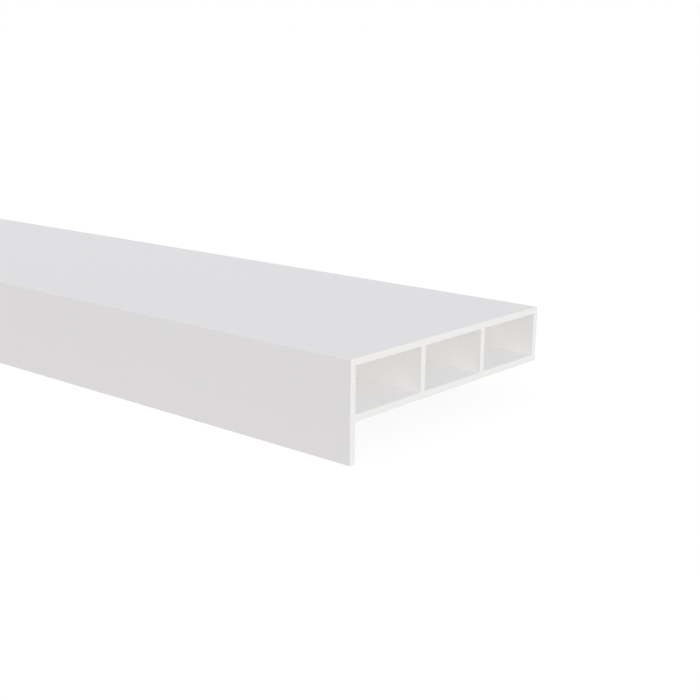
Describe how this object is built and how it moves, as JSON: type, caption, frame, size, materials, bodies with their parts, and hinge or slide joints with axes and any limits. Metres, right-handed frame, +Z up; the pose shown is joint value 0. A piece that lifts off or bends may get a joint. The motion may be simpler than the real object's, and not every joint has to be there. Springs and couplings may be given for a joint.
{
  "type": "chambered pvc profile",
  "caption": "Straight extruded white PVC profile: a flat hollow board divided by upright webs, with a thin apron hanging below its front edge.",
  "frame": {"origin": "centre of the footprint at the level of the apron's tip: midway along the length, midway across the depth, at the lowest point", "axes": "+X along the extruded length, +Z up through the board with the apron hanging down, and the apron's face towards -Y"},
  "size_m": [1, 0.1, 0.032],
  "materials": {
    "white_pvc": "satin, smooth as extruded, with matt sawn ends"
  },
  "bodies": {
    "root": {"chambered_profile": "white_pvc"}
  },
  "joints": []
}
